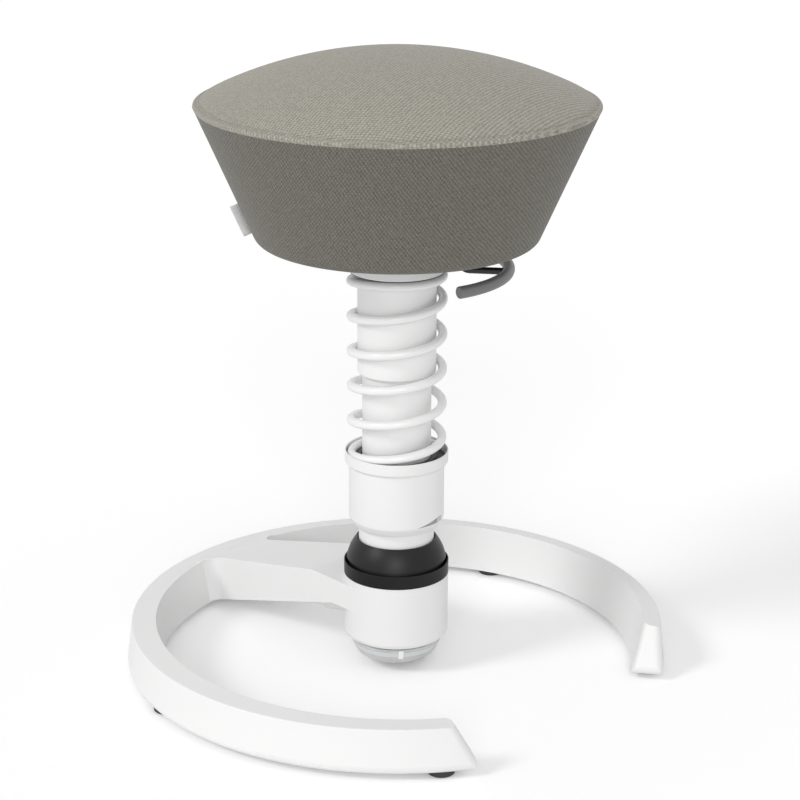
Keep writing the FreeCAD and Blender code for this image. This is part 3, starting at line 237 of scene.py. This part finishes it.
def twill(name, light, dark, ribs, angle):
    shade = Shade(name, light, CLOTH_ROUGHNESS, Sheen_Weight=0.10, Sheen_Roughness=0.5)
    across, along = ribs(shade, angle)
    wobble = shade.span(shade.noise(WOBBLE_SIZE), -RIB_WOBBLE, RIB_WOBBLE)
    turns = shade.math("ADD", shade.math("DIVIDE", across, RIB_PITCH), wobble)
    leaning = shade.math("MULTIPLY", turns, THREAD_LEAN)
    threads = shade.math("ADD", shade.math("DIVIDE", along, THREAD_PITCH), leaning)
    rib, thread = shade.span(shade.wave(turns), RIB_SHADE, 1), shade.span(shade.wave(threads), THREAD_SHADE, 1)
    weave = shade.math("MULTIPLY", rib, thread)
    fibre, patch = (shade.span(shade.noise(size, rough=SPECKLE_ROUGH), 0, 1, SPECKLE_RANGE)
                    for size in (FIBRE_SIZE, PATCH_SIZE))
    mixed = shade.total((weave, WEAVE_SHARE), (fibre, FIBRE_SHARE), (patch, PATCH_SHARE))
    shade.colour(shade.blend(mixed, dark, light))
    shade.bump(shade.total((weave, WEAVE_RISE), (fibre, FIBRE_RISE)), RELIEF, RELIEF_STRENGTH)
    return shade.material


# Materials by the record's slots

WHITE = (0.80, 0.80, 0.797)
CLOTH_TOP_LIGHT, CLOTH_TOP_DARK = (0.47, 0.450, 0.383), (0.138, 0.132, 0.110)
# Painted shade: the side uses the top's cloth made much darker, because the side gets less light than the crown
CLOTH_SIDE_SHADED_LIGHT, CLOTH_SIDE_SHADED_DARK = (0.205, 0.194, 0.163), (0.053, 0.0497, 0.041)


def milky_knob():
    shade = Shade("milky_knob", (0.62, 0.62, 0.615), 0.30, Subsurface_Weight=0.35, Subsurface_Scale=0.006,
                  Coat_Weight=0.4, Coat_Roughness=0.15)
    cloud = shade.noise(14 * MM, 3)
    shade.colour(shade.blend(cloud, (0.44, 0.44, 0.437), (0.62, 0.62, 0.615)))
    shade.roughness(shade.span(shade.noise(2 * MM, 2), 0.24, 0.38))
    shade.bump(shade.noise(0.5 * MM, 2), 0.03 * MM)
    return shade.material


def frosted_band():
    shade = Shade("frosted_band", (0.62, 0.64, 0.64), 0.55)
    grain = shade.noise(0.35 * MM, 2)
    shade.colour(shade.blend(grain, (0.50, 0.53, 0.53), (0.74, 0.76, 0.75)))
    shade.roughness(shade.span(grain, 0.45, 0.7))
    shade.bump(grain, 0.05 * MM)
    return shade.material


TAPE_ROW, TAPE_RELIEF = 0.8 * MM, 0.08 * MM


def woven_tape(name, colour):
    shade = Shade(name, colour, 0.85, Sheen_Weight=0.2)
    rows = shade.wave(shade.math("DIVIDE", shade.axes(shade.place)[2], TAPE_ROW))
    shade.colour(shade.blend(rows, tinted(colour, 0.86), colour))
    shade.bump(rows, TAPE_RELIEF)
    return shade.material


# For coat: name, colour, roughness, grain size and grain depth

MATERIALS = {
    "frame_paint": lambda: coat("powder_coat", WHITE, 0.42, 0.9 * MM, 0.05 * MM),
    "column_white": lambda: coat("white_moulding", WHITE, 0.38, 0.5 * MM, 0.02 * MM),
    "tube_white": lambda: coat("tube_paint", WHITE, 0.33, 1.2 * MM, 0.02 * MM),
    "spring_white": lambda: coat("spring_paint", tinted(WHITE, 1.04), 0.26, 2.5 * MM, 0.03 * MM),
    "rubber_black": lambda: coat("black_rubber", (0.006, 0.006, 0.006), 0.42, 0.4 * MM, 0.02 * MM,
                                 Specular_IOR_Level=0.3),
    "bush_rubber": lambda: coat("bush_rubber", (0.03, 0.03, 0.032), 0.62, 0.5 * MM, 0.05 * MM),
    "knob_clear": milky_knob,
    "mark_grey": lambda: coat("grey_inlay", (0.30, 0.31, 0.32), 0.5, 0.4 * MM, 0.02 * MM),
    "mark_white": lambda: coat("white_pointer", (0.88, 0.88, 0.88), 0.4, 0.6 * MM, 0.02 * MM),
    "plastic_dark": lambda: coat("dark_moulding", (0.03, 0.03, 0.033), 0.5, 0.35 * MM, 0.06 * MM),
    "steel": lambda: turned_metal("turned_steel", (0.62, 0.62, 0.63), 0.3),
    "steel_black": lambda: coat("black_coated_steel", (0.014, 0.014, 0.016), 0.33, 0.8 * MM, 0.03 * MM),
    "lever_grey": lambda: coat("grip_grey", (0.15, 0.152, 0.155), 0.40, 0.5 * MM, 0.04 * MM),
    "cover_cloth": lambda: twill("cloth_top", CLOTH_TOP_LIGHT, CLOTH_TOP_DARK, flat_ribs, TOP_RIB_DEG),
    "lining": lambda: coat("lining_board", (0.05, 0.05, 0.052), 0.8, 0.7 * MM, 0.12 * MM),
    "label_cloth": lambda: woven_tape("label_tape", (0.66, 0.66, 0.655)),
}
made_materials = {}


def material_of(slot):
    if slot not in made_materials:
        made_materials[slot] = MATERIALS[slot]()
    return made_materials[slot]


SLOT_NODES = {
    "frame_paint": ("foot_frame",),
    "column_white": ("neck_collar", "adjusting_cup", "top_cap", "upper_tube"),
    "tube_white": ("guide_tube",),
    "rubber_black": ("rim_band", "tilt_boot"),
    "bush_rubber": ("swing_bush", "bump_stop"),
    "knob_clear": ("stiffness_knob",),
    "mark_grey": ("cup_scale",),
    "mark_white": ("knob_mark",),
    "plastic_dark": ("floor_glides", "socket_cup", "guide_bush", "spring_seat", "spring_pad", "slide_ring",
                     "cylinder_bush", "mechanism_housing", "seat_shell"),
    "steel": ("glide_screws", "arm_screw", "hub_base_plate", "base_screws", "adjust_spindle", "pressure_plate",
              "ball_stub", "carrier_tube", "carrier_floor", "piston_rod", "rod_clip", "thrust_bearing",
              "release_pin", "plate_screws", "pivot_pin", "under_screws"),
    "steel_black": ("gas_cylinder", "seat_plate", "lever_arm"),
    "lever_grey": ("lever_grip",),
    "lining": ("underside_cover",),
}


def dress(node, material):
    data = nodes[node].data
    if not data.materials:
        data.materials.append(material)
    for slot in nodes[node].material_slots:
        slot.material = material


def dress_nodes():
    for slot, names in SLOT_NODES.items():
        for name in names:
            dress(name, material_of(slot))
    dress("knob_scale", frosted_band())


# Mesh helpers

def add_mesh(name, points, faces, materials, smooth=True):
    data = bpy.data.meshes.new(name)
    data.from_pydata(points, [], faces)
    for material in materials:
        data.materials.append(material)
    data.polygons.foreach_set("use_smooth", [smooth] * len(data.polygons))
    data.update()
    piece = bpy.data.objects.new(name, data)
    bpy.context.collection.objects.link(piece)
    return piece


ARC_STEPS = 7
AXIS_NEAR = 1e-6


def rounded_path(corners):
    """Points along an open path of corners (r, z, radius), with arcs at the rounded ones."""
    points = []
    for i, (r, z, radius) in enumerate(corners):
        here = Vector((r, z))
        if radius <= 0 or i in (0, len(corners) - 1):
            points.append(here)
            continue
        back = (Vector(corners[i - 1][:2]) - here).normalized()
        ahead = (Vector(corners[i + 1][:2]) - here).normalized()
        half = back.angle(ahead) / 2
        centre = here + (back + ahead).normalized() * (radius / math.sin(half))
        start = here + back * (radius / math.tan(half)) - centre
        end = here + ahead * (radius / math.tan(half)) - centre
        turn = start.angle_signed(end)
        for k in range(ARC_STEPS + 1):
            angle = -turn * k / ARC_STEPS
            c, s = math.cos(angle), math.sin(angle)
            points.append(centre + Vector((start.x * c - start.y * s, start.x * s + start.y * c)))
    return points


def spread(points, longest):
    """The same path with no step over a length."""
    result = [points[0]]
    for a, b in zip(points, points[1:]):
        count = max(1, math.ceil((b - a).length / longest))
        result += [a.lerp(b, k / count) for k in range(1, count + 1)]
    return result


def swept(path, radius, sides):
    """Points and faces of a round tube along a path of Vectors, with its cross-section kept upright."""
    points, faces = [], []
    last = len(path) - 1
    for i, here in enumerate(path):
        way = (path[min(i + 1, last)] - path[max(i - 1, 0)]).normalized()
        flat = way.cross(Vector((0, 0, 1)))
        flat = flat.normalized() if flat.length > AXIS_NEAR else Vector((1, 0, 0))
        rise = flat.cross(way)
        for k in range(sides):
            a = 2 * math.pi * k / sides
            points.append(here + (flat * math.cos(a) + rise * math.sin(a)) * radius)
    for i in range(last):
        for k in range(sides):
            a, b = i * sides + k, i * sides + (k + 1) % sides
            faces.append((a, a + sides, b + sides, b))
    faces.append(tuple(range(sides)))
    faces.append(tuple(reversed(range(last * sides, (last + 1) * sides))))
    return points, faces


def polar(r, degrees, z):
    a = math.radians(degrees)
    return Vector((r * math.cos(a), r * math.sin(a), z))


# Coil spring, with the same turns as its solid

WIRE_R, WIRE_SIDES, WIRE_STEP_DEG = 4.15 * MM, 24, 5
SPRING_R = 42.0 * MM
SPRING_TURNS = 5.0
SPRING_FOOT_Z = 208.3 * MM
CAP_FACE_Z, PAD_THICK, SPRING_CLEAR = 384.2 * MM, 0.6 * MM, 0.05 * MM
SPRING_HEAD_Z = CAP_FACE_Z - PAD_THICK - WIRE_R - SPRING_CLEAR
OPEN_START_DEG = 133.0
DEAD_FOOT_DEG, DEAD_TOP_DEG, RISE_TOP_DEG = 150.0, 225.0, 90.0
RISE_TOP = 5.2 * MM
SPRING_PITCH = (SPRING_HEAD_Z - RISE_TOP - SPRING_FOOT_Z) / SPRING_TURNS


def spring_z(angle):
    """Height of the wire: a flat end turn, the open turns, then a rise into the flat top turn."""
    run = angle - DEAD_FOOT_DEG
    if run <= 0:
        return SPRING_FOOT_Z
    open_deg = SPRING_TURNS * 360
    if run <= open_deg:
        return SPRING_FOOT_Z + SPRING_PITCH * run / 360
    part = min(1.0, (run - open_deg) / RISE_TOP_DEG)
    return SPRING_HEAD_Z - RISE_TOP + RISE_TOP * part * (2 - part)


def add_spring():
    total = DEAD_FOOT_DEG + SPRING_TURNS * 360 + RISE_TOP_DEG + DEAD_TOP_DEG
    steps = round(total / WIRE_STEP_DEG)
    start = OPEN_START_DEG - DEAD_FOOT_DEG
    angles = [total * i / steps for i in range(steps + 1)]
    path = [polar(SPRING_R, start + angle, spring_z(angle)) for angle in angles]
    points, faces = swept(path, WIRE_R, WIRE_SIDES)
    spring = add_mesh("spring_wire", points, faces, [material_of("spring_white")])
    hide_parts("coil_spring")
    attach(spring, "column")
    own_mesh(spring)


# Seat cushion: crowned top panel, rolled seam, and a side that draws in towards the foot

SEAT_R = 181.2 * MM
CROWN_Z = 583.1 * MM
SIDE_SLOPE = 0.452
SIDE_LEAN = math.atan(SIDE_SLOPE)
SIDE_REF_R, SIDE_REF_Z = 127.4 * MM, 414.0 * MM
FOOT_Z, FOOT_ROUND = 412.35 * MM, 11 * MM
HEM_R, HEM_TOP_Z = 106.0 * MM, 414.15 * MM
ROLL_R, ROLL_AT_R, ROLL_AT_Z = 2.3 * MM, 178.75 * MM, 536.2 * MM
ROLL_START_DEG, ROLL_STEP_DEG, ROLL_POINTS = -38, 17, 10
TUCK_IN, TUCK_DOWN = 0.6 * MM, 1.0 * MM
GROOVE_R, GROOVE_WIDTH, GROOVE_DEPTH = 175.6 * MM, 1.5 * MM, 1.3 * MM
GROOVE_EDGE, CROWN_POINTS, CROWN_CROWDING = 0.6 * MM, 64, 1.25
SHELL_INSET, SHELL_ROUND = 9.6 * MM, 4 * MM
SHELL_FOOT_Z, SHELL_EDGE_Z = 416.6 * MM, 526.0 * MM
DECK_R, DECK_TOP_Z, DECK_ROUND = 92.5 * MM, 557.3 * MM, 8 * MM
BOARD_R = 117.2 * MM
SIDE_STEP, INSIDE_STEP = 4 * MM, 8 * MM
CUSHION_SIDES = 320


def side_r(z, inset=0.0):
    """Radius of the side at a height, or that far inside it."""
    return SIDE_REF_R + (z - SIDE_REF_Z) * SIDE_SLOPE - inset / math.cos(SIDE_LEAN)


def crown_z(r):
    """Height of the crown, a shallow ball that meets the rolled seam."""
    sag = CROWN_Z - (ROLL_AT_Z + ROLL_R * 0.9)
    big = (SEAT_R ** 2 + sag ** 2) / (2 * sag)
    return CROWN_Z - big + math.sqrt(big * big - r * r)


def roll_points():
    """Arc of the rolled seam, from the side round to the groove."""
    return [Vector((ROLL_AT_R + ROLL_R * math.cos(a), ROLL_AT_Z + ROLL_R * math.sin(a)))
            for a in (math.radians(ROLL_START_DEG + ROLL_STEP_DEG * k) for k in range(ROLL_POINTS))]


def top_points():
    """Crown from the groove to the middle, sewn down a little beside the groove."""
    points = []
    for k in range(CROWN_POINTS):
        part = k / (CROWN_POINTS - 1)
        r = (GROOVE_R - GROOVE_EDGE) * (1 - part) ** CROWN_CROWDING
        sewn = GROOVE_DEPTH * math.exp(-((GROOVE_R - r) / (2 * GROOVE_WIDTH)))
        points.append(Vector((max(r, 0), crown_z(r) - sewn)))
    return points


def cushion_profile():
    """Outer points from hem to middle, then inner points back, with where the side and the top end."""
    seam = roll_points()
    side = spread(rounded_path([
        (HEM_R, FOOT_Z, 0),
        (side_r(FOOT_Z), FOOT_Z, FOOT_ROUND),
        (seam[0].x - TUCK_IN, seam[0].y - TUCK_DOWN, 0),
    ]), SIDE_STEP)
    top = seam + top_points()
    inside = spread(rounded_path([
        (0, DECK_TOP_Z, 0),
        (DECK_R, DECK_TOP_Z, DECK_ROUND),
        (side_r(SHELL_EDGE_Z, SHELL_INSET), SHELL_EDGE_Z, SHELL_ROUND),
        (side_r(SHELL_FOOT_Z, SHELL_INSET), SHELL_FOOT_Z, 0),
        (BOARD_R, HEM_TOP_Z, 0),
        (HEM_R, HEM_TOP_Z, 0),
    ]), INSIDE_STEP)
    return side + top + inside, len(side), len(side) + len(top)


def revolved(profile, sides):
    """Closed mesh of a profile that touches the axis in two places, with each face's row and each row's points."""
    points, rings = [], []
    for p in profile:
        if p.x < AXIS_NEAR:
            rings.append([len(points)] * sides)
            points.append(Vector((0, 0, p.y)))
            continue
        rings.append([len(points) + k for k in range(sides)])
        points += [polar(p.x, 360 * k / sides, p.y) for k in range(sides)]
    faces, rows = [], []
    for i in range(len(rings)):
        a, b = rings[i], rings[(i + 1) % len(rings)]
        if a[0] == a[1] and b[0] == b[1]:
            continue
        for k in range(sides):
            corner = [a[k], a[(k + 1) % sides], b[(k + 1) % sides], b[k]]
            faces.append(tuple(dict.fromkeys(corner)))
            rows.append(i)
    return points, faces, rows, rings


# How the cover swells: cloth settings, frames, and the most that a point moves

PRESSURE, CLOTH_MASS, STRETCH_STIFF, BEND_STIFF, CLOTH_QUALITY = 4, 0.35, 30, 2, 4
CLOTH_FRAMES, SWELL_CAP = 12, 1.2 * MM
HELD_HEM_ROWS, HELD_BELOW_SEAM, HELD_ABOVE_SEAM = 6, 3, 16


def swell(piece, held):
    """Let the cover swell as cloth over its filling, then cap how far each point has moved."""
    group = piece.vertex_groups.new(name="held")
    group.add(held, 1.0, "REPLACE")
    cloth = piece.modifiers.new("cloth", "CLOTH")
    settings = cloth.settings
    settings.use_pressure = True
    settings.uniform_pressure_force = PRESSURE
    settings.effector_weights.gravity = 0
    settings.vertex_group_mass = "held"
    settings.quality = CLOTH_QUALITY
    settings.mass = CLOTH_MASS
    settings.tension_stiffness = settings.compression_stiffness = STRETCH_STIFF
    settings.bending_stiffness = BEND_STIFF
    rest = [v.co.copy() for v in piece.data.vertices]
    scene = bpy.context.scene
    for number in range(1, CLOTH_FRAMES + 1):
        scene.frame_set(number)
    deps = bpy.context.evaluated_depsgraph_get()
    moved = [v.co.copy() for v in piece.evaluated_get(deps).data.vertices]
    piece.modifiers.remove(cloth)
    scene.frame_set(1)
    for vertex, a, b in zip(piece.data.vertices, rest, moved):
        step = b - a
        if step.length > SWELL_CAP:
            step *= SWELL_CAP / step.length
        vertex.co = a + step
    piece.data.update()


def add_cushion():
    profile, side_end, top_end = cushion_profile()
    points, faces, rows, rings = revolved(profile, CUSHION_SIDES)
    # The side's twill takes the darker colours, which are painted shade on the side
    shaded_side_cloth = twill("cloth_side_painted_shade", CLOTH_SIDE_SHADED_LIGHT, CLOTH_SIDE_SHADED_DARK, cone_ribs, SIDE_RIB_NORMAL_DEG)
    cushion = add_mesh("seat_cushion", points, faces, [material_of("cover_cloth"), shaded_side_cloth])
    for polygon, row in zip(cushion.data.polygons, rows):
        polygon.material_index = 0 if side_end - 1 <= row < top_end else 1
    seam = range(side_end - HELD_BELOW_SEAM, side_end + HELD_ABOVE_SEAM)
    held_rows = [i for i in range(len(rings)) if i >= top_end or i < HELD_HEM_ROWS or i in seam]
    swell(cushion, sorted({v for i in held_rows for v in rings[i]}))
    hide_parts("foam_pad", "seat_cover_top", "seat_cover_side", "rim_piping")
    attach(cushion, "seat")


# Sewing: topstitches and the side's closing seam

STITCH_LONG, STITCH_GAP, STITCH_R = 3.2 * MM, 1.3 * MM, 0.34 * MM
STITCH_STEPS, STITCH_SIDES = 4, 6
SEAM_R, SEAM_SIDES, SEAM_STEPS, SEAM_PROUD = 0.55 * MM, 8, 24, 0.1 * MM
SEAM_ASIDE_DEG, SEAM_FOOT_GAP, SEAM_TOP_GAP = 1.2, 8 * MM, 3 * MM


def thread():
    shade = Shade("sewing_thread", (0.30, 0.29, 0.25), 0.7, Sheen_Weight=0.2)
    twist = shade.noise(0.4 * MM, 2)
    shade.colour(shade.blend(twist, (0.22, 0.21, 0.18), (0.38, 0.365, 0.32)))
    shade.bump(twist, 0.1 * MM)
    return shade.material


def add_stitches():
    """Topstitching that lies in the groove beside the rolled seam."""
    count = round(2 * math.pi * GROOVE_R / (STITCH_LONG + STITCH_GAP))
    half = math.degrees(STITCH_LONG / GROOVE_R) / 2
    z = crown_z(GROOVE_R) - GROOVE_DEPTH + STITCH_R * 0.9
    points, faces = [], []
    for i in range(count):
        middle = 360 * i / count
        path = []
        for k in range(STITCH_STEPS + 1):
            part = k / STITCH_STEPS
            dip = STITCH_R * 1.1 * (2 * part - 1) ** 4
            path.append(polar(GROOVE_R, middle - half + 2 * half * part, z - dip))
        tube_points, tube_faces = swept(path, STITCH_R, STITCH_SIDES)
        faces += [tuple(v + len(points) for v in face) for face in tube_faces]
        points += tube_points
    stitches = add_mesh("seam_stitches", points, faces, [thread()])
    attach(stitches, "seat")


def add_side_seam():
    """Closing seam of the side panel, a fine ridge that runs up from the hem behind the label."""
    low, high = SIDE_REF_Z + SEAM_FOOT_GAP, ROLL_AT_Z - SEAM_TOP_GAP
    heights = [low + (high - low) * k / SEAM_STEPS for k in range(SEAM_STEPS + 1)]
    path = [polar(side_r(z, -SEAM_PROUD), SIDE_SEAM_DEG + SEAM_ASIDE_DEG, z) for z in heights]
    points, faces = swept(path, SEAM_R, SEAM_SIDES)
    seam = add_mesh("side_seam", points, faces, [thread()])
    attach(seam, "seat")


# Folded label, bare

LABEL_FOOT_Z, LABEL_LENGTH, LABEL_WIDTH, LABEL_HALF = 418.5 * MM, 30.0 * MM, 10.0 * MM, 0.42 * MM
LABEL_ROWS, LABEL_SWAY, LABEL_SUNK, FOLD_STEPS = 12, 0.8 * MM, 0.5 * MM, 8


def add_label():
    """A tape folded in two, its fold standing out from the seam like a small flag."""
    outline = [(0, -LABEL_HALF)]
    for k in range(FOLD_STEPS + 1):
        a = math.radians(180 * k / FOLD_STEPS - 90)
        outline.append((LABEL_WIDTH - LABEL_HALF + LABEL_HALF * math.cos(a), LABEL_HALF * math.sin(a)))
    outline.append((0, LABEL_HALF))
    points, faces = [], []
    for j in range(LABEL_ROWS + 1):
        part = j / LABEL_ROWS
        sway = LABEL_SWAY * math.sin(math.pi * part)
        for out, across in outline:
            points.append(Vector((out, across + sway * (out / LABEL_WIDTH) ** 2, LABEL_LENGTH * part)))
    width = len(outline)
    for j in range(LABEL_ROWS):
        for k in range(width):
            a, b = j * width + k, j * width + (k + 1) % width
            faces.append((a, b, b + width, a + width))
    faces.append(tuple(reversed(range(width))))
    faces.append(tuple(range(LABEL_ROWS * width, (LABEL_ROWS + 1) * width)))
    place = Matrix.Rotation(math.radians(SIDE_SEAM_DEG), 4, "Z")
    place = place @ Matrix.Translation((side_r(LABEL_FOOT_Z, LABEL_SUNK), 0, LABEL_FOOT_Z))
    place = place @ Matrix.Rotation(SIDE_LEAN, 4, "Y")
    label = add_mesh("side_tab", [place @ p for p in points], faces, [material_of("label_cloth")])
    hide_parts("side_label")
    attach(label, "seat")


# Studio. Each sun: name, power, azimuth, height and spread in degrees; the front one's shadow falls behind the stool

WORLD_LIGHT = 0.64
SUNS = (("key", 0.86, 160.0, 38.0, 16.0), ("front", 0.92, -139.0, 21.0, 30.0))
FLOOR_WHITE, FLOOR_DRIFT, FLOOR_DRIFT_SIZE, FLOOR_LIFT = 0.97, 0.998, 0.4, 0.13
FLOOR_HALF, FLOOR_DROP = 12.0, 0.2 * MM


def add_floor():
    """White floor, lifted a little for the camera alone so that its colour reaches white and its shadows stay."""
    corners = [(x * FLOOR_HALF, y * FLOOR_HALF, 0) for x, y in ((-1, -1), (1, -1), (1, 1), (-1, 1))]
    white = (FLOOR_WHITE,) * 3
    shade = Shade("studio_floor", white, 0.9, Specular_IOR_Level=0.0)
    shade.colour(shade.blend(shade.noise(FLOOR_DRIFT_SIZE), tinted(white, FLOOR_DRIFT), white))
    ray = shade.node("ShaderNodeLightPath")
    shade.shader.inputs["Emission Color"].default_value = (1, 1, 1, 1)
    lift = shade.math("MULTIPLY", ray.outputs["Is Camera Ray"], FLOOR_LIFT)
    shade.feed(shade.shader.inputs["Emission Strength"], lift)
    floor = add_mesh("studio_floor", [Vector(c) for c in corners], [(0, 1, 2, 3)], [shade.material], False)
    floor.location.z = -FLOOR_DROP


def add_sun(name, power, azimuth_deg, height_deg, spread_deg):
    data = bpy.data.lights.new(name, "SUN")
    data.energy = power
    data.angle = math.radians(spread_deg)
    sun = bpy.data.objects.new(name, data)
    azimuth, height = math.radians(azimuth_deg), math.radians(height_deg)
    flat = math.cos(height)
    way = Vector((math.cos(azimuth) * flat, math.sin(azimuth) * flat, math.sin(height)))
    sun.rotation_euler = way.to_track_quat("Z", "Y").to_euler()
    bpy.context.collection.objects.link(sun)


def add_world():
    """Even light all round, which the camera, gloss and glass see as white."""
    world = bpy.data.worlds.new("studio")
    world.use_nodes = True
    tree = world.node_tree
    tree.nodes.clear()
    output = tree.nodes.new("ShaderNodeOutputWorld")
    soft, seen = tree.nodes.new("ShaderNodeBackground"), tree.nodes.new("ShaderNodeBackground")
    soft.inputs["Strength"].default_value = WORLD_LIGHT
    seen.inputs["Strength"].default_value = 1.0
    for background in (soft, seen):
        background.inputs["Color"].default_value = (1, 1, 1, 1)
    ray, mix = tree.nodes.new("ShaderNodeLightPath"), tree.nodes.new("ShaderNodeMixShader")
    seen_by = ray.outputs["Is Camera Ray"]
    for kind in ("Is Glossy Ray", "Is Transmission Ray"):
        either = tree.nodes.new("ShaderNodeMath")
        either.operation = "MAXIMUM"
        tree.links.new(seen_by, either.inputs[0])
        tree.links.new(ray.outputs[kind], either.inputs[1])
        seen_by = either.outputs[0]
    tree.links.new(seen_by, mix.inputs[0])
    tree.links.new(soft.outputs[0], mix.inputs[1])
    tree.links.new(seen.outputs[0], mix.inputs[2])
    tree.links.new(mix.outputs[0], output.inputs["Surface"])
    bpy.context.scene.world = world


add_camera()
bpy.context.scene.view_settings.view_transform = "Standard"
add_world()
add_floor()
dress_nodes()
add_spring()
add_cushion()
add_stitches()
add_side_seam()
add_label()
for sun in SUNS:
    add_sun(*sun)
